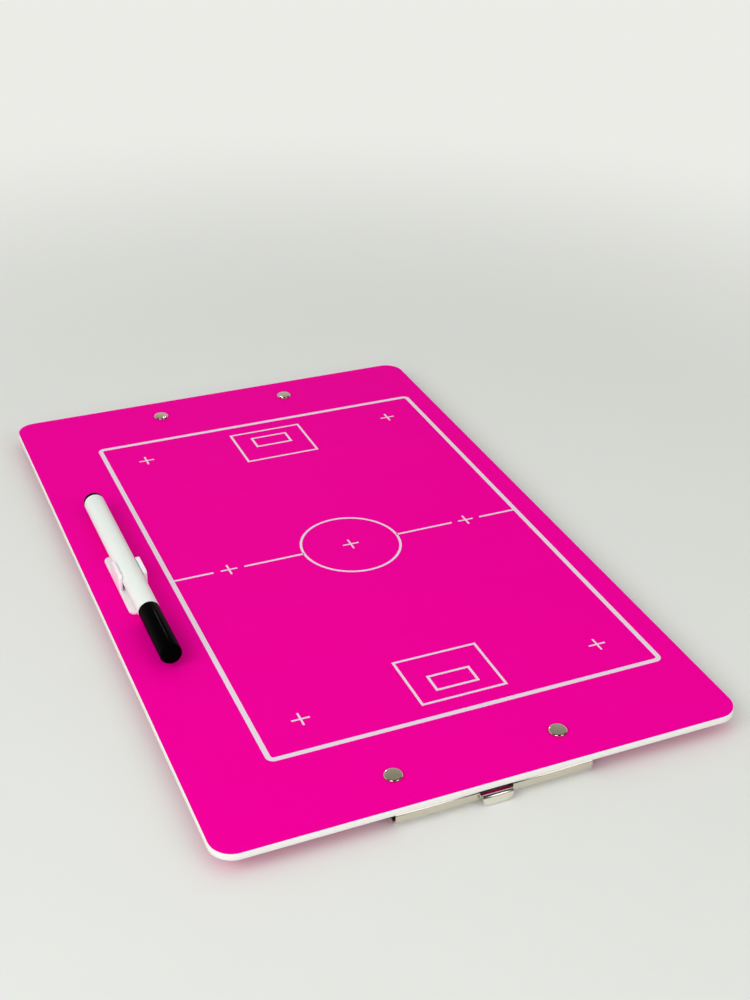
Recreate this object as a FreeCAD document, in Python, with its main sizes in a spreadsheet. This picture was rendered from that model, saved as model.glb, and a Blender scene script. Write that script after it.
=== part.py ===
import FreeCAD, Part
import math
import operator
import os

import Sketcher

# Tactics board: a printed panel that lies on two sprung paper clips, with a marker in a holder.
# Frame: z = 0 is the table under the clips, the printed face looks up (+Z), the panel's length runs
# along Y with the near end at -Y, and the origin lies under the panel's middle. Millimetres.

SIZES = {
    # Panel and its printed layers
    "board_width": 230.0,
    "board_length": 360.0,
    "board_corner": 10.0,
    "core_thickness": 3.0,
    "film_thickness": 0.15,
    "film_trim": 0.25,
    # Court lines: margins from the panel's edges, marks from the court's border
    "court_pen_margin": 35.6,
    "court_side_margin": 11.4,
    "court_end_margin": 43.0,
    "court_corner": 3.5,
    "court_inner_corner": 1.0,
    "border_line": 2.25,
    "thin_line": 1.15,
    "circle_radius": 24.3,
    "mark_size": 8.1,
    "mark_line": 0.85,
    "mark_gap": 3.7,
    "half_mark_inset": 29.2,
    "corner_mark_side": 21.5,
    "corner_mark_end": 20.7,
    "goal_width": 40.3,
    "goal_depth": 31.8,
    "goal_setback": 10.0,
    "crease_width": 20.5,
    "crease_depth": 10.8,
    "crease_setback": 6.85,
    # Rivets, placed from the clip's ends and the panel's end edge
    "rivet_side_inset": 6.6,
    "rivet_inset": 17.7,
    "rivet_shank": 4.0,
    "rivet_clearance": 0.05,
    "rivet_head": 8.0,
    "rivet_head_height": 1.1,
    "rivet_head_round": 0.8,
    "rivet_tail": 6.4,
    "rivet_tail_height": 1.0,
    "rivet_tail_round": 0.45,
    # Clip base
    "base_length": 86.5,
    "base_depth": 30.0,
    "base_sheet": 0.8,
    "base_bend": 0.4,
    "wall_height": 4.2,
    "notch_side_room": 0.6,
    "notch_room": 0.8,
    # Clip jaw
    "jaw_side_room": 0.25,
    "jaw_sheet": 0.8,
    "jaw_bend": 0.8,
    "jaw_wall_gap": 0.6,
    "jaw_flange_rise": 0.8,
    "jaw_lip_room": 0.7,
    "jaw_lip_gap": 0.2,
    "access_hole": 9.5,
    "tab_width": 13.4,
    "tab_reach": 2.0,
    "tab_drop": 1.6,
    "tab_lift": 0.3,
    "tab_corner": 3.0,
    "tab_corner_room": 0.1,
    # Hinge
    "hinge_room": 1.8,
    "pin_diameter": 2.4,
    "pin_clearance": 0.06,
    "pin_head_rim": 0.5,
    "pin_head_height": 0.5,
    "ear_wall": 0.94,
    "ear_room": 0.3,
    "ear_corner_room": 0.2,
    "ear_side_gap": 0.3,
    "ear_spacing": 18.0,
    # Torsion spring
    "wire": 0.8,
    "wire_clearance": 0.05,
    "coil_gap": 0.12,
    "coil_turns": 6.5,
    "leg_margin": 0.3,
    # Pen holder
    "holder_y": 4.2,
    "holder_length": 49.0,
    "holder_corner": 3.0,
    "holder_plate": 1.2,
    "pad_thickness": 0.55,
    "pad_margin": 0.6,
    "finger_shift": 1.0,
    "finger_length": 14.5,
    "finger_thickness": 1.45,
    "finger_rise": 3.2,
    "finger_lip": 0.6,
    "finger_lip_rise": 2.6,
    "finger_lean_rise": 1.0,
    "finger_round": 0.4,
    "grip_clearance": 0.2,
    # Marker
    "pen_inset": 18.25,
    "pen_front_y": -28.5,
    "pen_lift": 0.25,
    "pen_diameter": 10.0,
    "barrel_length": 100.0,
    "barrel_wall": 1.2,
    "barrel_round": 0.5,
    "pen_clearance": 0.05,
    "plug_depth": 8.0,
    "plug_flange": 9.7,
    "plug_height": 2.6,
    "plug_round": 0.9,
    "neck_length": 11.0,
    "neck_seat": 10.0,
    "cone_length": 6.0,
    "cone_wall": 0.65,
    "nib_diameter": 2.4,
    "nib_seat": 5.5,
    "nib_reach": 5.0,
    "reservoir_room": 7.6,
    "reservoir_clearance": 0.3,
    "cap_diameter": 9.9,
    "cap_length": 36.2,
    "cap_gap": 0.2,
    "cap_wall": 1.2,
    "cap_wall_end": 1.6,
    "cap_round": 2.2,
    "cap_clearance": 0.08,
}

doc = FreeCAD.newDocument("TacticsBoard")
sheet = doc.addObject("Spreadsheet::Sheet", "Sizes")
for row, (alias, number) in enumerate(SIZES.items(), start=1):
    sheet.set(f"A{row}", alias)
    sheet.set(f"B{row}", str(number))
    sheet.setAlias(f"B{row}", alias)
doc.recompute()


class Size:
    """A length that carries its number and the sheet formula that gives it."""

    def __init__(self, number, formula):
        self.number = number
        self.formula = formula

    def __add__(self, other):
        return combine(operator.add, self, "+", other)

    def __radd__(self, other):
        return combine(operator.add, other, "+", self)

    def __sub__(self, other):
        return combine(operator.sub, self, "-", other)

    def __rsub__(self, other):
        return combine(operator.sub, other, "-", self)

    def __mul__(self, other):
        return combine(operator.mul, self, "*", other)

    def __rmul__(self, other):
        return combine(operator.mul, other, "*", self)

    def __truediv__(self, other):
        return combine(operator.truediv, self, "/", other)

    def __neg__(self):
        return 0 - self


def as_size(value):
    """Let a plain number stand where a Size is read."""
    if isinstance(value, Size):
        return value
    return Size(float(value), str(float(value)))


def combine(operation, left, sign, right):
    """Join two sizes into one that has both the number and the formula."""
    left = as_size(left)
    right = as_size(right)
    return Size(operation(left.number, right.number), f"({left.formula} {sign} {right.formula})")


def smaller(left, right):
    """The lesser of two sizes, for a rounding that its wall limits."""
    return Size(min(left.number, right.number), f"min({left.formula}; {right.formula})")


class Sheet:
    """Reads each named value of the sheet as a Size."""

    def __getattr__(self, alias):
        return Size(SIZES[alias], f"Sizes.{alias}")


s = Sheet()

# Sizes that follow from the ones above
ear_radius = s.pin_diameter / 2 + s.pin_clearance + s.ear_wall
hinge_to_sheet = ear_radius + s.ear_room
clip_height = s.base_sheet + 2 * hinge_to_sheet + s.jaw_sheet
hinge_z = s.jaw_sheet + hinge_to_sheet
core_bottom = clip_height + s.film_thickness
core_top = core_bottom + s.core_thickness
face_z = core_top + s.film_thickness
court_width = s.board_width - s.court_pen_margin - s.court_side_margin
court_length = s.board_length - 2 * s.court_end_margin
court_shift = (s.court_pen_margin - s.court_side_margin) / 2
rivet_hole = s.rivet_shank / 2 + s.rivet_clearance
rivet_x = s.base_length / 2 - s.rivet_side_inset
rivet_y = s.board_length / 2 - s.rivet_inset
notch_width = s.tab_width + 2 * s.notch_side_room
jaw_length = s.base_length - 2 * s.jaw_side_room
jaw_outer_bend = s.jaw_bend + s.jaw_sheet
jaw_back = s.base_sheet + s.jaw_wall_gap
jaw_front = s.base_depth + s.jaw_lip_room + s.jaw_sheet
flange_top = jaw_outer_bend + s.jaw_flange_rise
tab_top = clip_height - s.tab_drop
notch_depth = jaw_back + s.jaw_sheet + s.notch_room
hinge_y = jaw_back + jaw_outer_bend + ear_radius + s.hinge_room
base_ear_x = s.ear_spacing / 2
jaw_ear_x = base_ear_x + s.base_sheet + s.ear_side_gap
pin_half = jaw_ear_x + s.jaw_sheet + s.ear_side_gap
pin_hole = s.pin_diameter / 2 + s.pin_clearance
coil_radius = hinge_to_sheet - s.wire_clearance - s.wire / 2
coil_pitch = s.wire + s.coil_gap
holder_x = s.pen_inset - s.board_width / 2
plate_z = face_z + s.pad_thickness
grip_half = s.pen_diameter / 2 + s.grip_clearance
holder_half = grip_half + s.finger_thickness
pen_z = plate_z + s.holder_plate + s.pen_lift + s.pen_diameter / 2
barrel_bore = s.pen_diameter / 2 - s.barrel_wall
plug_radius = barrel_bore - s.pen_clearance
nib_hole = s.nib_diameter / 2 + s.pen_clearance
nib_tip = s.neck_length + s.cone_length + s.nib_reach
nib_back = s.neck_seat + s.nib_seat

Z_AXIS = FreeCAD.Vector(0, 0, 1)
FULL_TURN = 360
# Two edges closer than this are at the same place
SAME_PLACE = 1e-4
# How a sketch numbers its own origin and the points of an edge
SKETCH_ORIGIN = (-1, 1)
START, END, CENTRE = 1, 2, 3


def origin_plane(body, role):
    """One of the body's own three planes."""
    return next(feature for feature in body.Origin.OriginFeatures if feature.Role == role)


def new_body(label, x=0, y=0, z=0, turn=0):
    """A body at a place tied to the sheet, turned about Z by so many degrees."""
    body = doc.addObject("PartDesign::Body", label)
    body.Label = label
    body.Placement = FreeCAD.Placement(FreeCAD.Vector(), FreeCAD.Rotation(Z_AXIS, turn))
    for name, size in zip("xyz", (x, y, z)):
        body.setExpression(f"Placement.Base.{name}", as_size(size).formula)
    return body


def new_sketch(body, role, name, shift=(0, 0, 0)):
    """A sketch on one of the body's planes, shifted along the sketch's own axes."""
    sketch = body.newObject("Sketcher::SketchObject", f"{body.Label}_{name}")
    sketch.AttachmentSupport = [(origin_plane(body, role), "")]
    sketch.MapMode = "FlatFace"
    for axis, size in zip("xyz", shift):
        sketch.setExpression(f"AttachmentOffset.Base.{axis}", as_size(size).formula)
    return sketch


def tie(sketch, kind, target, size):
    """A dimension of the sketch, bound to its formula."""
    size = as_size(size)
    index = sketch.addConstraint(Sketcher.Constraint(kind, *target, size.number))
    sketch.setExpression(f"Constraints[{index}]", size.formula)


def tie_point(sketch, geometry, point, x, y):
    """Hold a point of the sketch at x, y from the sketch's origin."""
    tie(sketch, "DistanceX", SKETCH_ORIGIN + (geometry, point), x)
    tie(sketch, "DistanceY", SKETCH_ORIGIN + (geometry, point), y)


def circle(sketch, x, y, radius):
    """A circle with its centre and radius tied to the sheet."""
    centre = FreeCAD.Vector(as_size(x).number, as_size(y).number, 0)
    index = sketch.addGeometry(Part.Circle(centre, Z_AXIS, as_size(radius).number), False)
    tie(sketch, "Radius", (index,), radius)
    tie_point(sketch, index, CENTRE, x, y)


def corner_arc(reach, leave, before, turn, radius):
    """The arc that rounds a corner, and its points that meet the edges before and after it."""
    side = FreeCAD.Vector(-before.y, before.x, 0) * math.copysign(1, turn)
    centre = reach + side * radius
    round_edge = Part.Circle(centre, Z_AXIS, radius)
    first, last = (reach, leave) if turn > 0 else (leave, reach)
    start = math.atan2(first.y - centre.y, first.x - centre.x)
    stop = math.atan2(last.y - centre.y, last.x - centre.x)
    ends = (START, END) if turn > 0 else (END, START)
    return Part.ArcOfCircle(round_edge, start, stop), ends


def outline(sketch, corners):
    """A closed outline through corners (x, y), or (x, y, radius) for a rounded one."""
    points = [FreeCAD.Vector(as_size(c[0]).number, as_size(c[1]).number, 0) for c in corners]
    count = len(points)
    arrivals = []
    departures = []
    turns = []
    for i, corner in enumerate(corners):
        before = (points[i] - points[i - 1]).normalize()
        after = (points[(i + 1) % count] - points[i]).normalize()
        turn = math.atan2(before.cross(after).z, before.dot(after))
        trim = 0
        if len(corner) == 3:
            trim = as_size(corner[2]).number * math.tan(abs(turn) / 2)
        arrivals.append(points[i] - before * trim)
        departures.append(points[i] + after * trim)
        turns.append((before, turn))
    edges = []
    for i in range(count):
        edge = Part.LineSegment(departures[i], arrivals[(i + 1) % count])
        edges.append(sketch.addGeometry(edge, False))
    for i, corner in enumerate(corners):
        tip = sketch.addGeometry(Part.Point(points[i]), True)
        tie_point(sketch, tip, START, corner[0], corner[1])
        arriving = edges[i - 1]
        leaving = edges[i]
        if len(corner) == 2:
            sketch.addConstraint(Sketcher.Constraint("Coincident", arriving, END, tip, START))
            sketch.addConstraint(Sketcher.Constraint("Coincident", leaving, START, tip, START))
            continue
        before, turn = turns[i]
        radius = as_size(corner[2])
        shape, ends = corner_arc(arrivals[i], departures[i], before, turn, radius.number)
        arc = sketch.addGeometry(shape, False)
        sketch.addConstraint(Sketcher.Constraint("PointOnObject", tip, START, arriving))
        sketch.addConstraint(Sketcher.Constraint("PointOnObject", tip, START, leaving))
        sketch.addConstraint(Sketcher.Constraint("Tangent", arriving, END, arc, ends[0]))
        sketch.addConstraint(Sketcher.Constraint("Tangent", leaving, START, arc, ends[1]))
        tie(sketch, "Radius", (arc,), radius)


def rectangle(sketch, left, right, low, high, radius=None):
    """A rectangle between two x and two y values, with its corners rounded if a radius is given."""
    corners = [(left, low), (right, low), (right, high), (left, high)]
    if radius is not None:
        corners = [corner + (radius,) for corner in corners]
    outline(sketch, corners)


def cross(sketch, x, y):
    """A plus mark with its middle at x, y."""
    arm = s.mark_size / 2
    half = s.mark_line / 2
    steps = [(arm, -half), (arm, half), (half, half), (half, arm), (-half, arm), (-half, half)]
    opposite = [(-across, -along) for across, along in steps]
    outline(sketch, [(x + across, y + along) for across, along in steps + opposite])


def pad(body, sketch, length, symmetric=False, backwards=False):
    """Push a sketch out into a solid."""
    feature = body.newObject("PartDesign::Pad", f"{sketch.Name}_pad")
    feature.Profile = sketch
    feature.setExpression("Length", as_size(length).formula)
    feature.SideType = "Symmetric" if symmetric else "One side"
    feature.Reversed = backwards
    return feature


def pocket(body, sketch, depth):
    """Cut a sketch into the body against its normal; the cut has to take something away."""
    doc.recompute()
    whole = body.Shape.Volume
    feature = body.newObject("PartDesign::Pocket", f"{sketch.Name}_pocket")
    feature.Profile = sketch
    feature.setExpression("Length", as_size(depth).formula)
    feature.Reversed = True
    doc.recompute()
    if body.Shape.Volume >= whole:
        raise RuntimeError(f"{sketch.Name} cuts nothing")
    return feature


def mirror(body, role, originals):
    """Repeat features on the other side of one of the body's planes."""
    feature = body.newObject("PartDesign::Mirrored", f"{originals[0].Name}_mirrored")
    feature.Originals = originals
    feature.MirrorPlane = (origin_plane(body, role), [""])
    body.Tip = feature
    return feature


def mirror_whole(body, role):
    """Repeat the whole body so far on the other side of one of its planes."""
    feature = body.newObject("PartDesign::Mirrored", f"{body.Label}_whole_mirrored")
    feature.TransformMode = "Whole shape"
    feature.MirrorPlane = (origin_plane(body, role), [""])
    body.Tip = feature
    return feature


def revolve(body, sketch, axis):
    """Turn a half profile all the way round one of its sketch's axes."""
    feature = body.newObject("PartDesign::Revolution", f"{sketch.Name}_revolution")
    feature.Profile = sketch
    feature.ReferenceAxis = (sketch, [axis])
    feature.Angle = FULL_TURN
    return feature


def panel_layer(label, bottom, thickness, trim=0):
    """One layer of the panel, trimmed inside the panel's edges, with the four rivet holes."""
    body = new_body(label, z=bottom)
    sketch = new_sketch(body, "XY_Plane", "outline")
    half_width = s.board_width / 2 - trim
    half_length = s.board_length / 2 - trim
    rectangle(sketch, -half_width, half_width, -half_length, half_length, s.board_corner - trim)
    for x in (-rivet_x, rivet_x):
        for y in (-rivet_y, rivet_y):
            circle(sketch, x, y, rivet_hole)
    pad(body, sketch, thickness)
    return body


def court_markings():
    """The white lines, flush with the pink print: border, circle, half line, goals and marks."""
    body = new_body("court_markings", x=court_shift, z=core_top)
    half_width = court_width / 2
    half_length = court_length / 2
    inner_width = half_width - s.border_line
    inner_length = half_length - s.border_line
    border = new_sketch(body, "XY_Plane", "border")
    rectangle(border, -half_width, half_width, -half_length, half_length, s.court_corner)
    rectangle(border, -inner_width, inner_width, -inner_length, inner_length, s.court_inner_corner)
    pad(body, border, s.film_thickness)

    centre = new_sketch(body, "XY_Plane", "centre")
    circle(centre, 0, 0, s.circle_radius + s.thin_line / 2)
    circle(centre, 0, 0, s.circle_radius - s.thin_line / 2)
    cross(centre, 0, 0)
    pad(body, centre, s.film_thickness)

    half_line = new_sketch(body, "XY_Plane", "half_line")
    half_mark_x = half_width - s.half_mark_inset
    beside_mark = s.mark_size / 2 + s.mark_gap
    half_thin = s.thin_line / 2
    border_middle = half_width - s.border_line / 2
    rectangle(half_line, s.circle_radius, half_mark_x - beside_mark, -half_thin, half_thin)
    rectangle(half_line, half_mark_x + beside_mark, border_middle, -half_thin, half_thin)
    cross(half_line, half_mark_x, 0)
    mirror(body, "YZ_Plane", [pad(body, half_line, s.film_thickness)])

    corner_mark = new_sketch(body, "XY_Plane", "corner_mark")
    cross(corner_mark, half_width - s.corner_mark_side, half_length - s.corner_mark_end)
    mirror(body, "YZ_Plane", [pad(body, corner_mark, s.film_thickness)])

    goal = new_sketch(body, "XY_Plane", "goal")
    goal_top = half_length - s.goal_setback
    crease_top = goal_top - s.crease_setback
    boxes = ((s.goal_width, s.goal_depth, goal_top), (s.crease_width, s.crease_depth, crease_top))
    for width, depth, top in boxes:
        for line in (0, s.thin_line):
            half = width / 2 - line
            rectangle(goal, -half, half, top - depth + line, top - line)
    pad(body, goal, s.film_thickness)
    mirror_whole(body, "XZ_Plane")
    return body


def front_print(film, markings):
    """The pink print of the face, open where the white lines are."""
    cut = doc.addObject("Part::Cut", "front_print")
    cut.Label = "front_print"
    cut.Base = film
    cut.Tool = markings
    return cut


def rivets():
    """Four tubular rivets: a flat round head on the face, the shank and the set tail."""
    body = new_body("rivets")
    tail_top = clip_height - s.base_sheet
    profile = new_sketch(body, "XZ_Plane", "profile", (rivet_x, 0, rivet_y))
    shank = s.rivet_shank / 2
    head = s.rivet_head / 2
    tail = s.rivet_tail / 2
    outline(profile, [
        (0, tail_top - s.rivet_tail_height),
        (tail, tail_top - s.rivet_tail_height, s.rivet_tail_round),
        (tail, tail_top),
        (shank, tail_top),
        (shank, face_z),
        (head, face_z),
        (head, face_z + s.rivet_head_height, s.rivet_head_round),
        (0, face_z + s.rivet_head_height),
    ])
    turned = revolve(body, profile, "V_Axis")
    mirror(body, "YZ_Plane", [turned])
    mirror_whole(body, "XZ_Plane")
    return body


def clip_body(label, end):
    """A body whose y = 0 is the panel's end edge and whose +y runs in under the panel."""
    half_length = s.board_length / 2
    if end == "near":
        return new_body(f"near_{label}", y=-half_length)
    return new_body(f"far_{label}", y=half_length, turn=180)


def hinge_ear(body, inner_x, thickness, root_z):
    """A pair of ears round the hinge pin, folded out of the sheet at root_z."""
    ear = new_sketch(body, "YZ_Plane", "ear", (0, 0, inner_x))
    low = hinge_y - ear_radius
    high = hinge_y + ear_radius
    rounding = ear_radius - s.ear_corner_room
    if as_size(root_z).number > hinge_z.number:
        tip = hinge_z - ear_radius
        corners = [(low, tip, rounding), (high, tip, rounding), (high, root_z), (low, root_z)]
    else:
        tip = hinge_z + ear_radius
        corners = [(low, root_z), (high, root_z), (high, tip, rounding), (low, tip, rounding)]
    outline(ear, corners)
    circle(ear, hinge_y, hinge_z, pin_hole)
    mirror(body, "YZ_Plane", [pad(body, ear, thickness)])


def clip_base(end):
    """Pressed plate under the panel, with a low end wall, the tab's notch and two hinge ears."""
    body = clip_body("clip_base", end)
    under = clip_height - s.base_sheet
    section = new_sketch(body, "YZ_Plane", "section")
    outline(section, [
        (0, clip_height - s.wall_height),
        (s.base_sheet, clip_height - s.wall_height),
        (s.base_sheet, under, s.base_bend),
        (s.base_depth, under),
        (s.base_depth, clip_height),
        (0, clip_height, s.base_bend + s.base_sheet),
    ])
    pad(body, section, s.base_length, symmetric=True)
    notch = new_sketch(body, "XY_Plane", "notch")
    half_notch = notch_width / 2
    rectangle(notch, -half_notch, half_notch, -s.base_sheet, notch_depth)
    pocket(body, notch, clip_height)
    holes = new_sketch(body, "XY_Plane", "rivet_holes")
    for x in (-rivet_x, rivet_x):
        circle(holes, x, s.rivet_inset, rivet_hole)
    pocket(body, holes, clip_height)
    hinge_ear(body, base_ear_x, s.base_sheet, clip_height - s.base_sheet / 2)
    return body


def clip_jaw(end):
    """Pressed jaw: bottom plate, outer flange, gripping lip, thumb tab and two hinge ears."""
    body = clip_body("clip_jaw", end)
    gauge = s.jaw_sheet
    inner = s.jaw_bend
    outer = jaw_outer_bend
    lip_top = clip_height - s.jaw_lip_gap
    section = new_sketch(body, "YZ_Plane", "section")
    outline(section, [
        (jaw_back, flange_top),
        (jaw_back, 0, outer),
        (jaw_front, 0, outer),
        (jaw_front, lip_top),
        (jaw_front - gauge, lip_top),
        (jaw_front - gauge, gauge, inner),
        (jaw_back + gauge, gauge, inner),
        (jaw_back + gauge, flange_top),
    ])
    pad(body, section, jaw_length, symmetric=True)

    tab = new_sketch(body, "YZ_Plane", "tab")
    root = flange_top - gauge / 2
    outline(tab, [
        (jaw_back + gauge, root),
        (jaw_back + gauge, tab_top, outer),
        (-s.tab_reach, tab_top, outer),
        (-s.tab_reach, s.tab_lift),
        (gauge - s.tab_reach, s.tab_lift),
        (gauge - s.tab_reach, tab_top - gauge, inner),
        (jaw_back, tab_top - gauge, inner),
        (jaw_back, root),
    ])
    pad(body, tab, s.tab_width, symmetric=True)

    access = new_sketch(body, "XY_Plane", "access")
    for x in (-rivet_x, rivet_x):
        circle(access, x, s.rivet_inset, s.access_hole / 2)
    pocket(body, access, gauge)
    hinge_ear(body, jaw_ear_x, gauge, gauge / 2)
    doc.recompute()
    round_tab(body)
    return body


def round_tab(body):
    """Round the two lower corners of the thumb tab's flap."""
    base = body.Tip
    names = []
    for index, edge in enumerate(base.Shape.Edges, start=1):
        middle = edge.CenterOfMass
        at_side = abs(abs(middle.x) - s.tab_width.number / 2) < SAME_PLACE
        at_bottom = abs(middle.z - s.tab_lift.number) < SAME_PLACE
        if at_side and at_bottom and middle.y < 0:
            names.append(f"Edge{index}")
    flap = tab_top - jaw_outer_bend - s.tab_lift
    fillet = body.newObject("PartDesign::Fillet", f"{body.Label}_tab_corners")
    fillet.Base = (base, names)
    fillet.setExpression("Radius", smaller(s.tab_corner, flap - s.tab_corner_room).formula)
    return fillet


def hinge_pin(end):
    """Pin through the four ears, with a flattened head at each end."""
    body = clip_body("hinge_pin", end)
    profile = new_sketch(body, "XY_Plane", "profile", (0, hinge_y, hinge_z))
    shaft = s.pin_diameter / 2
    head = shaft + s.pin_head_rim
    tip = pin_half + s.pin_head_height
    outline(profile, [
        (-tip, 0),
        (tip, 0),
        (tip, head),
        (pin_half, head),
        (pin_half, shaft),
        (-pin_half, shaft),
        (-pin_half, head),
        (-tip, head),
    ])
    revolve(body, profile, "H_Axis")
    return body


def clip_spring(end):
    """Torsion spring round the pin: one leg bears on the base plate, the other on the jaw."""
    body = clip_body("clip_spring", end)
    coil_half = coil_pitch * s.coil_turns / 2
    top_leg = new_sketch(body, "XZ_Plane", "top_leg", (0, hinge_z, -hinge_y))
    circle(top_leg, -coil_half, coil_radius, s.wire / 2)
    low_leg = new_sketch(body, "XZ_Plane", "low_leg", (0, hinge_z, -hinge_y))
    circle(low_leg, coil_half, -coil_radius, s.wire / 2)
    coil = body.newObject("PartDesign::AdditiveHelix", f"{body.Label}_coil")
    coil.Profile = top_leg
    coil.ReferenceAxis = (top_leg, ["H_Axis"])
    coil.Mode = "pitch-turns-angle"
    coil.setExpression("Pitch", coil_pitch.formula)
    coil.setExpression("Turns", s.coil_turns.formula)
    coil.LeftHanded = True
    coil.HasBeenEdited = True
    doc.recompute()
    pad(body, top_leg, hinge_y - notch_depth - s.leg_margin)
    pad(body, low_leg, hinge_y - jaw_back - jaw_outer_bend - s.leg_margin)
    return body


def holder_adhesive_pad():
    """Thin foam tape between the printed face and the holder's plate."""
    body = new_body("holder_adhesive_pad", x=holder_x, y=s.holder_y, z=face_z)
    sketch = new_sketch(body, "XY_Plane", "outline")
    half_width = holder_half - s.pad_margin
    half_length = s.holder_length / 2 - s.pad_margin
    corner = s.holder_corner - s.pad_margin
    rectangle(sketch, -half_width, half_width, -half_length, half_length, corner)
    pad(body, sketch, s.pad_thickness)
    return body


def pen_holder():
    """Moulded holder: a long plate with two fingers whose lips close over the marker."""
    body = new_body("pen_holder", x=holder_x, y=s.holder_y, z=plate_z)
    plate = new_sketch(body, "XY_Plane", "plate")
    half_length = s.holder_length / 2
    rectangle(plate, -holder_half, holder_half, -half_length, half_length, s.holder_corner)
    pad(body, plate, s.holder_plate)
    finger = new_sketch(body, "XZ_Plane", "finger", (0, 0, -s.finger_shift))
    axis_z = s.holder_plate + s.pen_lift + s.pen_diameter / 2
    top = axis_z + s.finger_rise
    lip = grip_half - s.finger_lip
    outline(finger, [
        (grip_half, s.holder_plate / 2),
        (holder_half, s.holder_plate / 2),
        (holder_half, top, s.finger_round),
        (grip_half, top, s.finger_round),
        (lip, axis_z + s.finger_lip_rise, s.finger_round),
        (grip_half, axis_z + s.finger_lean_rise),
    ])
    mirror(body, "YZ_Plane", [pad(body, finger, s.finger_length, symmetric=True)])
    return body


def pen_piece(label, corners):
    """A turned piece of the marker: corners are (radius, distance behind the barrel's front end)."""
    body = new_body(label, x=holder_x, y=s.pen_front_y, z=pen_z)
    profile = new_sketch(body, "XY_Plane", "profile")
    outline(profile, corners)
    revolve(body, profile, "V_Axis")
    return body


def marker():
    """The marker's pieces, all turned about one axis."""
    outside = s.pen_diameter / 2
    pen_piece("pen_barrel", [
        (barrel_bore, 0),
        (outside, 0, s.barrel_round),
        (outside, s.barrel_length, s.barrel_round),
        (barrel_bore, s.barrel_length),
    ])
    plug_flange = s.plug_flange / 2
    pen_piece("pen_end_plug", [
        (0, s.barrel_length - s.plug_depth),
        (plug_radius, s.barrel_length - s.plug_depth),
        (plug_radius, s.barrel_length),
        (plug_flange, s.barrel_length),
        (plug_flange, s.barrel_length + s.plug_height, s.plug_round),
        (0, s.barrel_length + s.plug_height),
    ])
    cap = s.cap_diameter / 2
    cap_bore = cap - s.cap_wall
    neck = cap_bore - s.cap_clearance
    pen_piece("pen_nib_holder", [
        (nib_hole, s.neck_seat),
        (nib_hole, -s.neck_length - s.cone_length),
        (nib_hole + s.cone_wall, -s.neck_length - s.cone_length),
        (neck, -s.neck_length),
        (neck, 0),
        (plug_radius, 0),
        (plug_radius, s.neck_seat),
    ])
    nib = s.nib_diameter / 2
    pen_piece("pen_nib", [
        (0, -nib_tip),
        (nib, -nib_tip, nib - s.pen_clearance),
        (nib, nib_back),
        (0, nib_back),
    ])
    reservoir = barrel_bore - s.reservoir_clearance
    reservoir_end = s.barrel_length - s.plug_depth - s.reservoir_room
    pen_piece("pen_ink_reservoir", [
        (nib_hole, s.neck_seat),
        (reservoir, s.neck_seat),
        (reservoir, reservoir_end),
        (0, reservoir_end),
        (0, nib_back + s.pen_clearance),
        (nib_hole, nib_back + s.pen_clearance),
    ])
    cap_end = -s.cap_gap - s.cap_length
    pen_piece("pen_cap", [
        (0, cap_end),
        (cap, cap_end, s.cap_round),
        (cap, -s.cap_gap),
        (cap_bore, -s.cap_gap),
        (cap_bore, cap_end + s.cap_wall_end),
        (0, cap_end + s.cap_wall_end),
    ])


panel_layer("core_panel", core_bottom, s.core_thickness)
panel_layer("back_print", clip_height, s.film_thickness, s.film_trim)
film = panel_layer("front_film", core_top, s.film_thickness, s.film_trim)
front_print(film, court_markings())
rivets()
for end_name in ("near", "far"):
    clip_base(end_name)
    clip_jaw(end_name)
    hinge_pin(end_name)
    clip_spring(end_name)
holder_adhesive_pad()
pen_holder()
marker()
doc.recompute()

for item in doc.Objects:
    if "Invalid" in item.State or "Error" in item.State:
        raise RuntimeError(f"{item.Label} failed: {item.State}")

solids = [item for item in doc.Objects if item.TypeId in ("PartDesign::Body", "Part::Cut")]
pieces = [item for item in solids if item is not film]
for piece in pieces:
    if piece.Shape.isNull() or not piece.Shape.isValid():
        raise RuntimeError(f"{piece.Label} has no valid shape")

os.makedirs("parts", exist_ok=True)
for piece in pieces:
    piece.Shape.exportStep(f"parts/{piece.Label}.step")
    print(piece.Label, len(piece.Shape.Solids), round(piece.Shape.Volume, 2))
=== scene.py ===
"""Looks of a tactics board: a printed panel on two sprung paper clips, with a marker in a holder.

Laid out as an add-on and run as a script. Every piece is modelled in place, in metres, in the
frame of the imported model: +Z up out of the printed face, +Y along the panel's length.
"""

import math

import bmesh
import bpy
from bpy.props import FloatProperty, FloatVectorProperty, PointerProperty
from mathutils import Matrix, Vector


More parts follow.
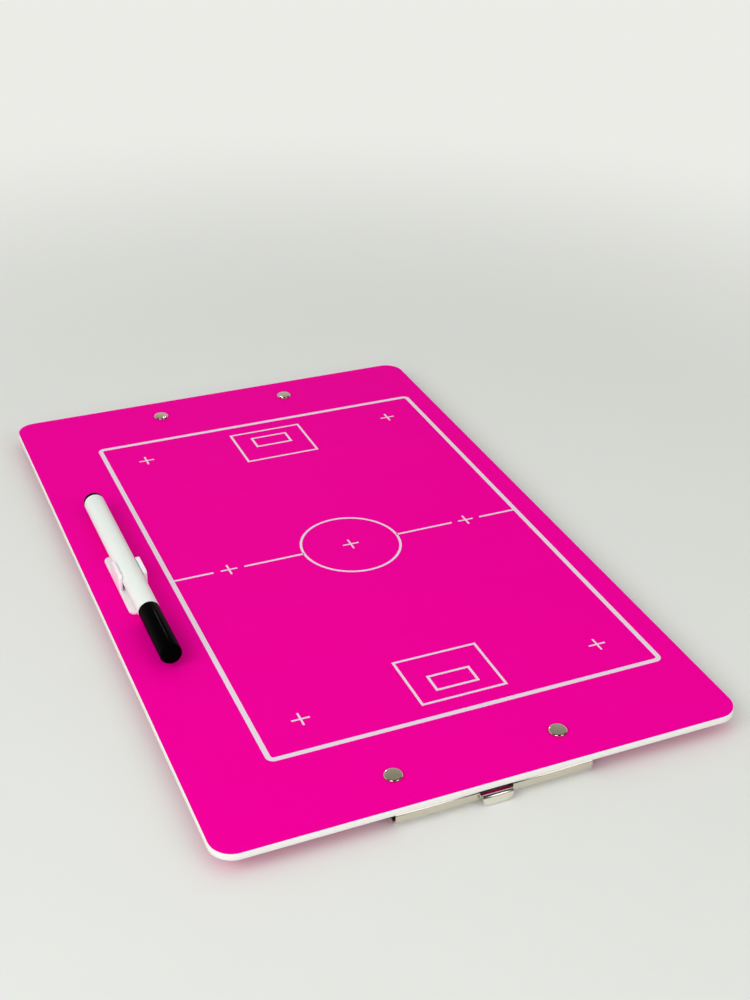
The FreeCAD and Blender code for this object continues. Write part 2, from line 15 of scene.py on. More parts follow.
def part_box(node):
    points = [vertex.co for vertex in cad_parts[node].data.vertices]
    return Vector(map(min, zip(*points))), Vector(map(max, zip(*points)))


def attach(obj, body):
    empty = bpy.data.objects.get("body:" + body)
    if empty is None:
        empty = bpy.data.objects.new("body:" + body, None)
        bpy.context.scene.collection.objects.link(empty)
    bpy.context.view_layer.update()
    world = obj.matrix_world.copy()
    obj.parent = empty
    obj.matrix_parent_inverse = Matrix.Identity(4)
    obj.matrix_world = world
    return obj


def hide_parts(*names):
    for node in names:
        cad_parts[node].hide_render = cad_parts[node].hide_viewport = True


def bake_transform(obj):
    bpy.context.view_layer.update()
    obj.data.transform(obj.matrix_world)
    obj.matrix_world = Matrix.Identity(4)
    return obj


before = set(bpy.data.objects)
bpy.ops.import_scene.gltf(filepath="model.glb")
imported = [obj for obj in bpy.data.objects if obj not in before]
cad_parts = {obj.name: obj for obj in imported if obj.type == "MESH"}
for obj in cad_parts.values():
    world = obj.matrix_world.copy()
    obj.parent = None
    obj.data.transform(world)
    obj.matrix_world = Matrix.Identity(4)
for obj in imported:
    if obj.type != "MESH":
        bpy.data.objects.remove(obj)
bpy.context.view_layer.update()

bl_info = {
    "name": "Tactics Board",
    "version": (1, 0, 0),
    "blender": (4, 5, 0),
    "location": "View3D > Sidebar > Tactics Board",
    "description": "Models and finishes a coaching board with two paper clips and a marker",
    "category": "Object",
}

MM = 0.001

# How finely round shapes are cut
CORNER_STEPS = 16
BEND_STEPS = 6
ROUND_STEPS = 6
TURN_STEPS = 72
HOLE_STEPS = 32
CIRCLE_STEPS = 128
WIRE_STEPS = 16
COIL_STEPS = 36
RIM_STEPS = 2

# Points closer than this are one point, a cut this near to a point goes through it, and a mirror with
# the third value joins no points
WELD = 1e-7
NEAR_CUT = 1e-5
NO_MERGE = -1
# Edges turned more than this shade as sharp, and a sheet's rim is turned more than the second one
SHARP_ANGLE = math.radians(32)
RIM_ANGLE = math.radians(60)
# Faces that turn less than this are one flat face
FLAT_ANGLE = math.radians(0.5)
# A face whose normal rises more than this faces up
FACES_UP = 0.5

QUARTER_TURN = math.pi / 2
HALF_TURN = math.pi
ACROSS = Vector((1, 0, 0))
ALONG = Vector((0, 1, 0))
UP = Vector((0, 0, 1))

# Name, place, width, height in metres and power in watts of each lamp
SOFTBOXES = (
    ("front_left_softbox", (-0.9, -1.1, 0.75), 0.7, 0.7, 4.9),
    ("front_right_softbox", (0.58, -1.25, 0.75), 0.7, 0.7, 2.8),
)
# A lamp that shows in no glossy piece, and a small one that shows only there, as a glint
FILL = ("left_softbox", (-1.0, -0.35, 0.85), 0.7, 0.7, 4.9)
GLINT = ("back_strip", (0.23, 0.9, 0.68), 0.03, 0.25, 0.6)

# Share of the room's brightness that reaches the board from all round
ROOM_LIGHT = 0.75
# Metal sees pale paper low down, a dimmer ceiling and a dark front, where the camera stands. Places
# are on a unit sphere
CEILING_LIGHT = 0.4
CEILING_LOW = 0.1
CEILING_HIGH = 0.75
FRONT_LIGHT = 0.03
FRONT_LOW = -0.05
FRONT_HIGH = 0.1
FRONT_START = 0.3
FRONT_FULL = -0.2

# Refractive index of polypropylene
PLASTIC_IOR = 1.49
# How rough the clips' rolled strip is, and its rolling marks in millimetres
ROLLED_STRIP = {"smooth": 0.14, "worn": 0.26, "mark_width": 0.25, "mark_length": 9.0}

# The board's two ends, and which way round the pieces at each one stand
ENDS = {"near": 1, "far": -1}
BOARD = "board"
FACE_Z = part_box("front_print")[1].z
BACK_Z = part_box("back_print")[0].z


def linear(code):
    """Linear colour of an sRGB hex code."""
    channels = [int(code[start:start + 2], 16) / 255 for start in (0, 2, 4)]
    return tuple(c / 12.92 if c <= 0.04045 else ((c + 0.055) / 1.055) ** 2.4 for c in channels) + (1.0,)


def length(name, description, millimetres):
    """A length setting, given in millimetres."""
    return FloatProperty(name=name, description=description, default=millimetres * MM, min=0,
                         precision=5, unit="LENGTH")


def colour(name, description, code):
    """A colour setting, given as an sRGB hex code."""
    return FloatVectorProperty(name=name, description=description, default=linear(code), size=4,
                               min=0, max=1, subtype="COLOR")


class PanelSettings(bpy.types.PropertyGroup):
    """Sizes and colours of the panel and its print."""

    corner: length("Corner", "Radius of the panel's corners", 10.0)
    rim: length("Rim", "Rounding of the sheet's routed rims", 0.2)
    rivet_hole: length("Rivet hole", "Radius of the holes for the rivets", 2.05)
    sheet: colour("Sheet", "White of the sheet's cut edge", "F4F4F0")
    print_pink: colour("Print", "Pink of the printed face and back", "F5009E")
    ink: colour("Lines", "White of the court lines", "E7DBE8")


class CourtSettings(bpy.types.PropertyGroup):
    """Sizes of the court lines, measured from the court's border."""

    ink_height: length("Ink height", "How far the white ink stands above the pink", 0.02)
    border: length("Border", "Width of the border line", 2.25)
    corner: length("Border corner", "Outer radius of the border's corners", 3.5)
    thin: length("Thin line", "Width of the other lines", 1.15)
    circle: length("Circle", "Radius of the centre circle", 24.3)
    mark: length("Mark", "Size of a plus mark", 8.1)
    mark_line: length("Mark line", "Width of a plus mark's lines", 0.85)
    mark_gap: length("Mark gap", "Gap between a plus mark and the half line", 3.7)
    half_mark: length("Half mark inset", "From the border to the half line's marks", 29.2)
    corner_mark_side: length("Corner mark side", "From the side border to a corner mark", 21.5)
    corner_mark_end: length("Corner mark end", "From the end border to a corner mark", 20.7)
    goal_width: length("Goal width", "Outside width of the goal box", 40.3)
    goal_depth: length("Goal depth", "Outside depth of the goal box", 31.8)
    goal_setback: length("Goal setback", "From the end border to the goal box", 10.0)
    crease_width: length("Crease width", "Outside width of the box in the goal box", 20.5)
    crease_depth: length("Crease depth", "Outside depth of the box in the goal box", 10.8)
    crease_setback: length("Crease setback", "From the goal box to the box in it", 6.85)


class ClipSettings(bpy.types.PropertyGroup):
    """Sizes and colours of the rivets and the paper clips."""

    head: length("Rivet head", "Radius of a rivet's head", 4.0)
    head_round: length("Head rounding", "Rounding of a rivet head's shoulder", 0.8)
    shank: length("Rivet shank", "Radius of a rivet's shank", 2.0)
    tail: length("Rivet tail", "Radius of a rivet's rolled tail", 3.2)
    tail_height: length("Tail height", "Height of a rivet's rolled tail", 1.0)
    tail_round: length("Tail rounding", "Rounding of a rivet's rolled tail", 0.45)
    tail_hollow: length("Tail hollow", "Radius of the hollow in a rivet's tail", 1.3)
    gauge: length("Gauge", "Thickness of the clip's sheet steel", 0.8)
    rim: length("Rim", "Rounding of the sheet's cut rims", 0.12)
    base_bend: length("Base bend", "Outside radius of the base's bend", 1.2)
    wall: length("Wall", "Height of the base's end wall", 4.2)
    notch: length("Notch", "Half width of the base's notch", 7.3)
    notch_depth: length("Notch depth", "Depth of the base's notch", 3.0)
    jaw_bend: length("Jaw bend", "Inside radius of the jaw's bends", 0.8)
    jaw_back: length("Jaw back", "From the panel's edge to the jaw's flange", 1.4)
    flange: length("Flange", "Height of the jaw's flange", 2.4)
    access: length("Access hole", "Radius of the holes under the rivets", 4.75)
    tab: length("Tab", "Half width of the thumb tab", 6.7)
    tab_top: length("Tab top", "Height of the thumb tab's top above the table", 5.0)
    tab_lift: length("Tab lift", "Height of the thumb tab's lower edge above the table", 0.3)
    tab_corner: length("Tab corner", "Rounding of the thumb tab's lower corners", 3.0)
    ear: length("Ear", "Radius of the hinge ears", 2.2)
    ear_round: length("Ear rounding", "Rounding of the hinge ears' corners", 2.0)
    pin_hole: length("Pin hole", "Radius of the holes for the hinge pin", 1.26)
    base_ear: length("Base ear", "From the middle to the base's ears", 9.0)
    jaw_ear: length("Jaw ear", "From the middle to the jaw's ears", 10.1)
    spring_wire: length("Spring wire", "Radius of the springs' wire", 0.4)
    spring_turns: FloatProperty(name="Spring turns", description="Turns of a spring's coil", default=6.5)
    plating: colour("Plating", "Nickel plate of the clips' bases", "E2DBCC")
    # The jaws are the same nickel plate as the bases, painted lighter: painted light for the light that the
    # thumb tabs' faces catch from the bright floor in front of the clips
    jaw_plating_painted_light: colour("Jaw plating", "Nickel plate of the clips' jaws", "F4F0E4")
    rivet: colour("Rivet", "Nickel plate of the rivets", "D8CDB8")
    wire: colour("Wire", "Drawn steel of the springs and pins", "8F8D89")


class MarkerSettings(bpy.types.PropertyGroup):
    """Sizes and colours of the marker and its holder."""

    plate: length("Holder plate", "Thickness of the holder's plate", 1.2)
    holder_corner: length("Holder corner", "Radius of the holder plate's corners", 3.0)
    finger_shift: length("Finger shift", "From the holder's middle to the middle of its fingers", 1.0)
    finger: length("Finger", "Half length of a holder finger along the marker", 7.25)
    finger_wall: length("Finger wall", "Thickness of a holder finger", 1.45)
    finger_lip: length("Finger lip", "How far a finger's lip leans over the marker", 0.6)
    finger_rise: length("Lip height", "Height of the lip above the marker's axis", 2.6)
    finger_lean: length("Lean height", "Height above the marker's axis where a finger starts to lean", 1.15)
    finger_corner: length("Finger corner", "Radius of a finger's upper corners", 2.05)
    moulded_edge: length("Moulded edge", "Rounding of the holder's edges", 0.35)
    tape_corner: length("Tape corner", "Radius of the adhesive pad's corners", 2.4)
    bore: length("Bore", "Radius inside the barrel", 3.8)
    barrel_round: length("Barrel rounding", "Rounding of the barrel's ends", 0.5)
    plug: length("Plug", "Radius of the plugs that close the barrel", 3.75)
    plug_flange: length("Plug flange", "Radius of the end plug's flange", 4.85)
    plug_round: length("Plug rounding", "Rounding of the end plug", 0.9)
    neck: length("Neck", "Radius of the neck under the cap", 3.67)
    neck_length: length("Neck length", "Length of the neck under the cap", 11.0)
    nib: length("Nib", "Radius of the nib", 1.2)
    nib_round: length("Nib rounding", "Rounding of the nib's tip", 1.1)
    nib_hole: length("Nib hole", "Radius of the nib's hole", 1.25)
    cone_wall: length("Cone wall", "Wall round the nib at the cone's tip", 0.65)
    cone_round: length("Cone rounding", "Rounding of the neck's shoulders", 0.2)
    cap_wall: length("Cap wall", "Wall of the cap", 1.2)
    cap_mouth: length("Cap mouth", "Rounding of the cap's open rim", 0.2)
    cap_end: length("Cap end", "Thickness of the cap's closed end", 1.6)
    cap_round: length("Cap rounding", "Rounding of the cap's closed end", 2.2)
    # The holder's faint pink is painted light: the pink of the print below, added to the tint that the
    # milky plastic passes
    holder: colour("Holder", "Milky plastic of the holder", "F7F1F5")
    tape: colour("Tape", "White foam of the adhesive pad", "EDEBEA")
    barrel: colour("Barrel", "White plastic of the barrel", "ECF0EE")
    black: colour("Black", "Black plastic of the cap and the plug", "030304")
    neck_white: colour("Neck colour", "White plastic of the neck", "E6E6E2")
    felt: colour("Felt", "Inked fibre of the nib", "141416")


class StageSettings(bpy.types.PropertyGroup):
    """The floor, the light and the camera."""

    floor: colour("Floor", "Pale paper of the floor", "E6E7E5")
    room: colour("Room", "Pale room that the floor fades into", "EBECE7")
    floor_radius: length("Floor radius", "Radius of the floor", 6000.0)
    fade_near: length("Fade near", "Distance from the middle where the floor starts to fade", 250.0)
    fade_far: length("Fade far", "Distance from the middle where the floor is as pale as the room", 750.0)
    lens: FloatProperty(name="Lens", description="Focal length for a 36 mm frame", default=53.186)
    camera_place: FloatVectorProperty(name="Camera", description="Place of the camera",
                                      default=(-0.2233, -0.5619, 0.3966), subtype="XYZ", unit="LENGTH")
    camera_aim: FloatVectorProperty(name="Aim", description="Direction that the camera looks in",
                                    default=(0.34698, 0.78686, -0.51035), subtype="DIRECTION")
    camera_roll: FloatProperty(name="Roll", description="Turn of the camera about its own axis",
                               default=math.radians(1.31), subtype="ANGLE")


def per_mm(size):
    """Scale of a pattern whose features are that many millimetres wide."""
    return 1 / (size * MM)


def dimmed(tone, share):
    """A darker tone of a colour, with that share of its light."""
    return tuple(channel * share for channel in tone[:3]) + (1.0,)


def add_node(tree, kind, settings=None, links=None):
    """Add a node, set its sockets or options, and link other nodes' outputs into its sockets.

    A node that is given in place of an output stands for its first output.
    """
    node = tree.nodes.new("ShaderNode" + kind)
    for name, value in (settings or {}).items():
        if isinstance(name, str) and hasattr(node, name):
            setattr(node, name, value)
        else:
            node.inputs[name].default_value = value
    for name, source in (links or {}).items():
        output = source.outputs[0] if isinstance(source, bpy.types.Node) else source
        tree.links.new(output, node.inputs[name])
    return node


def new_material(name):
    """A material with an empty node tree, the tree, and its Object coordinates."""
    material = bpy.data.materials.new(name)
    material.use_nodes = True
    tree = material.node_tree
    tree.nodes.clear()
    return material, tree, add_node(tree, "TexCoord").outputs["Object"]


def surface(tree, settings, tones, mottle, wear=None, smooth=0.0, worn=0.0, relief=None, strength=0.0,
            depth=0.0):
    """A shader with patterns for its tone, its roughness from smooth to worn, and its relief in mm."""
    # A colour mix takes its colours at sockets 6 and 7, and gives the result at output 2
    shade = add_node(tree, "Mix", {"data_type": "RGBA", 6: tones[0], 7: tones[1]}, {0: mottle})
    links = {"Base Color": shade.outputs[2]}
    if wear is not None:
        links["Roughness"] = add_node(tree, "MapRange", {"To Min": smooth, "To Max": worn}, {"Value": wear})
    if relief is not None:
        links["Normal"] = add_node(tree, "Bump", {"Strength": strength, "Distance": depth * MM},
                                   {"Height": relief})
    return add_node(tree, "BsdfPrincipled", settings, links)


def finished(material, shader):
    """The material, with a shader as its surface."""
    add_node(material.node_tree, "OutputMaterial", {}, {"Surface": shader})
    return material


def routed_pvc(tone):
    """Rigid white PVC sheet with a routed edge: matt, with fine upright marks from the cutter."""
    material, tree, place = new_material("routed_white_pvc")
    upright = add_node(tree, "Mapping", {"Scale": (per_mm(0.5), per_mm(0.5), per_mm(9.0))},
                       {"Vector": place})
    marks = add_node(tree, "TexNoise", {"Scale": 1.0, "Detail": 3.0, "Roughness": 0.6}, {"Vector": upright})
    shader = surface(tree, {"Roughness": 0.5, "Specular IOR Level": 0.35},
                     (dimmed(tone, share=0.94), tone), marks, relief=marks, strength=0.25, depth=0.04)
    return finished(material, shader)


def printed_film(name, tone, gloss):
    """Ink on smooth wipe-clean film: an even colour, a faint mottle and a soft satin gloss."""
    material, tree, place = new_material(name)
    mottle = add_node(tree, "TexNoise", {"Scale": per_mm(6.0), "Detail": 4.0}, {"Vector": place})
    wiped = add_node(tree, "TexNoise", {"Scale": per_mm(25.0), "Detail": 5.0, "Distortion": 1.5},
                     {"Vector": place})
    peel = add_node(tree, "TexNoise", {"Scale": per_mm(0.8), "Detail": 1.0}, {"Vector": place})
    shader = surface(tree, {"Specular IOR Level": gloss}, (dimmed(tone, share=0.97), tone), mottle,
                     wear=wiped, smooth=0.34, worn=0.46, relief=peel, strength=0.05, depth=0.02)
    return finished(material, shader)


def nickel_plate(name, tone, smooth, worn, mark_width, mark_length):
    """Bright nickel over rolled steel. Its rolling marks are drawn coarser than real ones, to show."""
    material, tree, place = new_material(name)
    across = per_mm(mark_width)
    rolled = add_node(tree, "Mapping", {"Scale": (per_mm(mark_length), across, across)}, {"Vector": place})
    marks = add_node(tree, "TexNoise", {"Scale": 1.0, "Detail": 4.0, "Roughness": 0.65}, {"Vector": rolled})
    cloud = add_node(tree, "TexNoise", {"Scale": per_mm(7.0), "Detail": 3.0}, {"Vector": place})
    shader = surface(tree, {"Metallic": 1.0}, (dimmed(tone, share=0.9), tone), cloud, wear=marks,
                     smooth=smooth, worn=worn, relief=marks, strength=0.12, depth=0.01)
    return finished(material, shader)


def moulded_plastic(name, tone, gloss, smooth, worn):
    """Moulded polypropylene: smooth, with a faint ripple from the mould and hazy handling marks."""
    material, tree, place = new_material(name)
    flow = add_node(tree, "Mapping", {"Scale": (per_mm(2.0), per_mm(14.0), per_mm(2.0))},
                    {"Vector": place})
    streaks = add_node(tree, "TexNoise", {"Scale": 1.0, "Detail": 3.0}, {"Vector": flow})
    haze = add_node(tree, "TexNoise", {"Scale": per_mm(3.0), "Detail": 4.0}, {"Vector": place})
    shader = surface(tree, {"IOR": PLASTIC_IOR, "Specular IOR Level": gloss},
                     (dimmed(tone, share=0.95), tone), streaks, wear=haze, smooth=smooth, worn=worn,
                     relief=streaks, strength=0.06, depth=0.03)
    return finished(material, shader)


def milky_plastic(tone):
    """Natural polypropylene: milky and a little see-through, so that the print below tints it. A faint pink
    in the tone it is given is painted light from that print.
    """
    material, tree, place = new_material("milky_polypropylene")
    cloud = add_node(tree, "TexNoise", {"Scale": per_mm(4.0), "Detail": 3.0}, {"Vector": place})
    milk = {"IOR": PLASTIC_IOR, "Subsurface Weight": 0.4, "Subsurface Radius": (1.0, 1.0, 1.0),
            "Subsurface Scale": 1.5 * MM}
    shader = surface(tree, milk, (dimmed(tone, share=0.96), tone), cloud, wear=cloud, smooth=0.28, worn=0.4)
    return finished(material, shader)


def porous(name, tone, cell, depth):
    """Foam or pressed fibre: dull, with cells or strands that are that many millimetres wide and deep."""
    material, tree, place = new_material(name)
    cells = add_node(tree, "TexVoronoi", {"Scale": per_mm(cell)}, {"Vector": place})
    shader = surface(tree, {"Roughness": 0.85, "Specular IOR Level": 0.2},
                     (tone, dimmed(tone, share=0.75)), cells, relief=cells, strength=0.5, depth=depth)
    return finished(material, shader)


def studio_paper(tone, room, near, far):
    """Matt background paper with the faintest tooth. Far from the board it fades into the pale room."""
    material, tree, place = new_material("studio_paper")
    tooth = add_node(tree, "TexNoise", {"Scale": per_mm(30.0), "Detail": 6.0}, {"Vector": place})
    paper = surface(tree, {"Roughness": 0.9, "Specular IOR Level": 0.1},
                    (dimmed(tone, share=0.985), tone), tooth)
    distance = add_node(tree, "VectorMath", {"operation": "LENGTH"}, {0: place})
    fade = add_node(tree, "MapRange",
                    {"interpolation_type": "SMOOTHSTEP", "From Min": near, "From Max": far},
                    {"Value": distance.outputs["Value"]})
    seen = add_node(tree, "Math", {"operation": "MULTIPLY"}, {0: fade, 1: seen_directly(tree)})
    glow = add_node(tree, "Emission", {"Color": room})
    return finished(material, add_node(tree, "MixShader", {}, {0: seen, 1: paper, 2: glow}))


def seen_directly(tree):
    """Node that gives 1 for what the camera, metal or clear plastic sees, and 0 for scattered light."""
    path = add_node(tree, "LightPath")
    mirrored = add_node(tree, "Math", {"operation": "MAXIMUM"},
                        {0: path.outputs["Is Camera Ray"], 1: path.outputs["Is Glossy Ray"]})
    return add_node(tree, "Math", {"operation": "MAXIMUM"},
                    {0: mirrored, 1: path.outputs["Is Transmission Ray"]})


def smooth_object(bm, name, material):
    """Turn a finished bmesh into an object with smooth faces and crisp edges."""
    mesh = bpy.data.meshes.new(name)
    bm.to_mesh(mesh)
    bm.free()
    mesh.materials.append(material)
    mesh.shade_smooth()
    mesh.set_sharp_from_angle(angle=SHARP_ANGLE)
    made = bpy.data.objects.new(name, mesh)
    bpy.context.scene.collection.objects.link(made)
    return made


def place_piece(bm, name, material, body, node):
    """A finished piece: it moves with its body and stands for its node."""
    piece = smooth_object(bm, name, material)
    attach(piece, body)
    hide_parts(node)
    return piece


def paint_node(node, material):
    """Give a node that keeps its own shape a better finish."""
    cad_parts[node].material_slots[0].material = material


def wire_loop(bm, points):
    """A closed loop of edges through points."""
    verts = [bm.verts.new(point) for point in points]
    for start, end in zip(verts, verts[1:] + verts[:1]):
        bm.edges.new((start, end))
    return verts


def round_off(bm, items, radius, steps, affect="EDGES", clamp=False):
    """Round edges, or corners where vertices are affected."""
    bmesh.ops.bevel(bm, geom=items, offset=radius, offset_type="OFFSET", segments=steps, profile=0.5,
                    affect=affect, material=-1, clamp_overlap=clamp)


def round_corners(bm, verts, radius, steps):
    """Round right-angled corners."""
    round_off(bm, verts, radius, steps, affect="VERTICES")


def new_verts(made):
    """The vertices among what an operator made."""
    return [item for item in made["geom"] if isinstance(item, bmesh.types.BMVert)]


def face_outwards(bm):
    """Point every face outwards."""
    bmesh.ops.recalc_face_normals(bm, faces=bm.faces[:])


def thicken(bm, move):
    """Extrude every face of a flat mesh into a closed solid."""
    made = bmesh.ops.extrude_face_region(bm, geom=bm.faces[:], use_keep_orig=True)
    bmesh.ops.translate(bm, verts=new_verts(made), vec=move)
    face_outwards(bm)


def loose_edges(bm):
    """Edges that no face uses yet."""
    return [edge for edge in bm.edges if edge.is_wire]


def fill_loops(bm):
    """Fill the loose flat loops of edges, the inner ones as holes, and return the faces."""
    made = bmesh.ops.triangle_fill(bm, use_beauty=True, use_dissolve=False, edges=loose_edges(bm))
    return [item for item in made["geom"] if isinstance(item, bmesh.types.BMFace)]


def fill_outline(bm):
    """Fill the one loose flat loop of edges with one face."""
    return bmesh.ops.contextual_create(bm, geom=loose_edges(bm))["faces"][0]


def soften_edges(bm, angle, radius, steps=RIM_STEPS):
    """Round every edge that turns more than an angle."""
    edges = [edge for edge in bm.edges if edge.is_manifold and edge.calc_face_angle() > angle]
    round_off(bm, edges, radius, steps, clamp=True)


def rectangle(low, high, z):
    """Corners of a rectangle, anticlockwise from above."""
    return [(low.x, low.y, z), (high.x, low.y, z), (high.x, high.y, z), (low.x, high.y, z)]


def round_holes(bm, places, z, radius):
    """Loops of edges for round holes in a flat sheet."""
    for x, y in places:
        place = Matrix.Translation((x, y, z))
        bmesh.ops.create_circle(bm, segments=HOLE_STEPS, radius=radius, matrix=place)


def plate(low, high, corner, holes=(), hole_radius=0.0):
    """A flat plate between two corners of its box, with rounded corners and round holes."""
    bm = bmesh.new()
    round_corners(bm, wire_loop(bm, rectangle(low, high, low.z)), corner, CORNER_STEPS)
    if holes:
        round_holes(bm, holes, low.z, hole_radius)
        fill_loops(bm)
    else:
        fill_outline(bm)
    thicken(bm, (0, 0, high.z - low.z))
    return bm


def turned(section, centre, axis, closed=False):
    """A turned solid. Its half section has a radius, a place and, if any, a rounding for each corner."""
    bm = bmesh.new()
    verts = [bm.verts.new(centre + ACROSS * radius + axis * place) for radius, place, *_ in section]
    pairs = list(zip(verts, verts[1:]))
    if closed:
        pairs.append((verts[-1], verts[0]))
    for start, end in pairs:
        bm.edges.new((start, end))
    for vert, (_, _, *rounding) in zip(verts, section):
        if rounding:
            round_corners(bm, [vert], rounding[0], ROUND_STEPS)
    bmesh.ops.spin(bm, geom=bm.verts[:] + bm.edges[:], cent=centre, axis=axis, dvec=(0, 0, 0),
                   angle=math.tau, steps=TURN_STEPS, use_merge=True)
    bmesh.ops.remove_doubles(bm, verts=bm.verts[:], dist=WELD)
    face_outwards(bm)
    return bm


def rivet_places(settings):
    """Middles of the four rivets, the near two first, from the box of their heads."""
    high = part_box("rivets")[1]
    x = high.x - settings.head
    y = high.y - settings.head
    return [(-x, -y), (x, -y), (-x, y), (x, y)]


class TACTICS_OT_panel(bpy.types.Operator):
    """Model the white sheet and the pink print on its two sides"""

    bl_idname = "tactics_board.panel"
    bl_label = "Panel"

    def execute(self, context):
        panel = context.scene.board_panel
        holes = rivet_places(context.scene.board_clips)
        pink = printed_film("printed_pink_film", panel.print_pink, gloss=0.003)
        layers = (("core_panel", "panel_sheet", routed_pvc(panel.sheet)),
                  ("front_print", "panel_front_film", pink),
                  ("back_print", "panel_back_film", pink))
        edge_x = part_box("core_panel")[1].x
        for node, name, material in layers:
            low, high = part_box(node)
            trim = edge_x - high.x
            bm = plate(low, high, panel.corner - trim, holes, panel.rivet_hole)
            if node == "core_panel":
                soften_edges(bm, RIM_ANGLE, panel.rim)
            place_piece(bm, name, material, BOARD, node)
        return {"FINISHED"}


def line_inside(bm, line):
    """Turn the loose loop of edges into a line of that width along its inside."""
    face = fill_outline(bm)
    bmesh.ops.inset_region(bm, faces=[face], thickness=line, use_even_offset=True, use_boundary=True)
    bmesh.ops.delete(bm, geom=[face], context="FACES_ONLY")


def outline_box(bm, low, high, line, corner=0.0):
    """A line of one width round the inside of a rectangle."""
    verts = wire_loop(bm, rectangle(low, high, FACE_Z))
    if corner:
        round_corners(bm, verts, corner, CORNER_STEPS)
    line_inside(bm, line)


def bar(bm, left, right, middle, line):
    """A straight line across the court."""
    low = Vector((left, middle - line / 2))
    high = Vector((right, middle + line / 2))
    bm.faces.new([bm.verts.new(point) for point in rectangle(low, high, FACE_Z)])


def plus_mark(bm, x, y, court):
    """A plus mark: a small square with an arm pulled out of each side."""
    line = court.mark_line
    half = Vector((line, line)) / 2
    middle = Vector((x, y))
    square = bm.faces.new([bm.verts.new(p) for p in rectangle(middle - half, middle + half, FACE_Z)])
    for edge in square.edges[:]:
        outward = (edge.verts[0].co + edge.verts[1].co) / 2 - Vector((x, y, FACE_Z))
        made = bmesh.ops.extrude_edge_only(bm, edges=[edge])
        bmesh.ops.translate(bm, verts=new_verts(made), vec=outward.normalized() * (court.mark - line) / 2)


class TACTICS_OT_court(bpy.types.Operator):
    """Model the white court lines on the printed face"""

    bl_idname = "tactics_board.court"
    bl_label = "Court lines"

    def execute(self, context):
        court = context.scene.board_court
        low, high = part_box("court_markings")
        middle = (low + high) / 2
        bm = bmesh.new()
        outline_box(bm, low, high, court.border, court.corner)
        bmesh.ops.create_circle(bm, segments=CIRCLE_STEPS, radius=court.circle + court.thin / 2,
                                matrix=Matrix.Translation((middle.x, middle.y, FACE_Z)))
        line_inside(bm, court.thin)
        plus_mark(bm, middle.x, middle.y, court)
        beside = court.mark / 2 + court.mark_gap
        for side in (-1, 1):
            border_x = middle.x + side * (high.x - middle.x)
            mark_x = border_x - side * court.half_mark
            corner_x = border_x - side * court.corner_mark_side
            inner = (middle.x + side * court.circle, mark_x - side * beside)
            outer = (mark_x + side * beside, border_x - side * court.border)
            for ends in (inner, outer):
                bar(bm, min(ends), max(ends), middle.y, court.thin)
            plus_mark(bm, mark_x, middle.y, court)
            for end in (-1, 1):
                border_y = middle.y + end * (high.y - middle.y)
                plus_mark(bm, corner_x, border_y - end * court.corner_mark_end, court)
        for end in (-1, 1):
            goal_y = middle.y + end * (high.y - middle.y - court.goal_setback)
            crease_y = goal_y - end * court.crease_setback
            boxes = ((court.goal_width, court.goal_depth, goal_y),
                     (court.crease_width, court.crease_depth, crease_y))
            for width, depth, back in boxes:
                front = back - end * depth
                box_low = Vector((middle.x - width / 2, min(front, back)))
                box_high = Vector((middle.x + width / 2, max(front, back)))
                outline_box(bm, box_low, box_high, court.thin)
        thicken(bm, (0, 0, court.ink_height))
        ink = printed_film("printed_white_ink", context.scene.board_panel.ink, gloss=0.1)
        place_piece(bm, "court_lines", ink, BOARD, "court_markings")
        return {"FINISHED"}


class TACTICS_OT_rivets(bpy.types.Operator):
    """Model the four tubular rivets"""

    bl_idname = "tactics_board.rivets"
    bl_label = "Rivets"

    def execute(self, context):
        clips = context.scene.board_clips
        low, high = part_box("rivets")
        tail_top = low.z + clips.tail_height
        section = [
            (0.0, high.z),
            (clips.head, high.z, clips.head_round),
            (clips.head, FACE_Z),
            (clips.shank, FACE_Z),
            (clips.shank, tail_top),
            (clips.tail, tail_top, clips.tail_round),
            (clips.tail, low.z, clips.tail_round),
            (clips.tail_hollow, low.z, clips.tail_round),
            (clips.tail_hollow, BACK_Z),
            (0.0, BACK_Z),
        ]
        x, y = rivet_places(clips)[-1]
        bm = turned(section, Vector((x, y, 0)), UP)
        for axis in "XY":
            bmesh.ops.mirror(bm, geom=bm.verts[:] + bm.edges[:] + bm.faces[:], matrix=Matrix.Identity(4),
                             merge_dist=NO_MERGE, axis=axis)
        face_outwards(bm)
        plating = nickel_plate("rivet_nickel_plate", clips.rivet, smooth=0.07, worn=0.15, mark_width=0.5,
                               mark_length=0.5)
        place_piece(bm, "rivet_heads", plating, BOARD, "rivets")
        return {"FINISHED"}


def extrude_edges(bm, edges, move):
    """Pull edges of a sheet out by a move, and return the new edges."""
    made = bmesh.ops.extrude_edge_only(bm, edges=edges)
    fresh = set(new_verts(made))
    bmesh.ops.translate(bm, verts=list(fresh), vec=move)
    return [item for item in made["geom"] if isinstance(item, bmesh.types.BMEdge)
            and set(item.verts) <= fresh]


def pierced_sheet(outline, z, holes, radius):
    """A flat sheet at a height, with its outline and its round holes given as places in plan."""
    bm = bmesh.new()
    wire_loop(bm, [(x, y, z) for x, y in outline])
    round_holes(bm, holes, z, radius)
    fill_loops(bm)
    return bm


def edges_at(bm, y):
    """Edges of a flat sheet's outline that lie along X at a place."""
    return [edge for edge in bm.edges if edge.is_boundary
            and all(abs(vert.co.y - y) < WELD for vert in edge.verts)]


def turn_faces(bm, way):
    """Turn a folded sheet's faces over, unless its largest one faces that way."""
    bm.normal_update()
    largest = max(bm.faces, key=lambda face: face.calc_area())
    if largest.normal.dot(way) < 0:
        bmesh.ops.reverse_faces(bm, faces=bm.faces[:])


def hinge_place():
    """Where the near hinge's axis crosses the board's middle plane."""
    low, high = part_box("near_hinge_pin")
    return (low + high) / 2


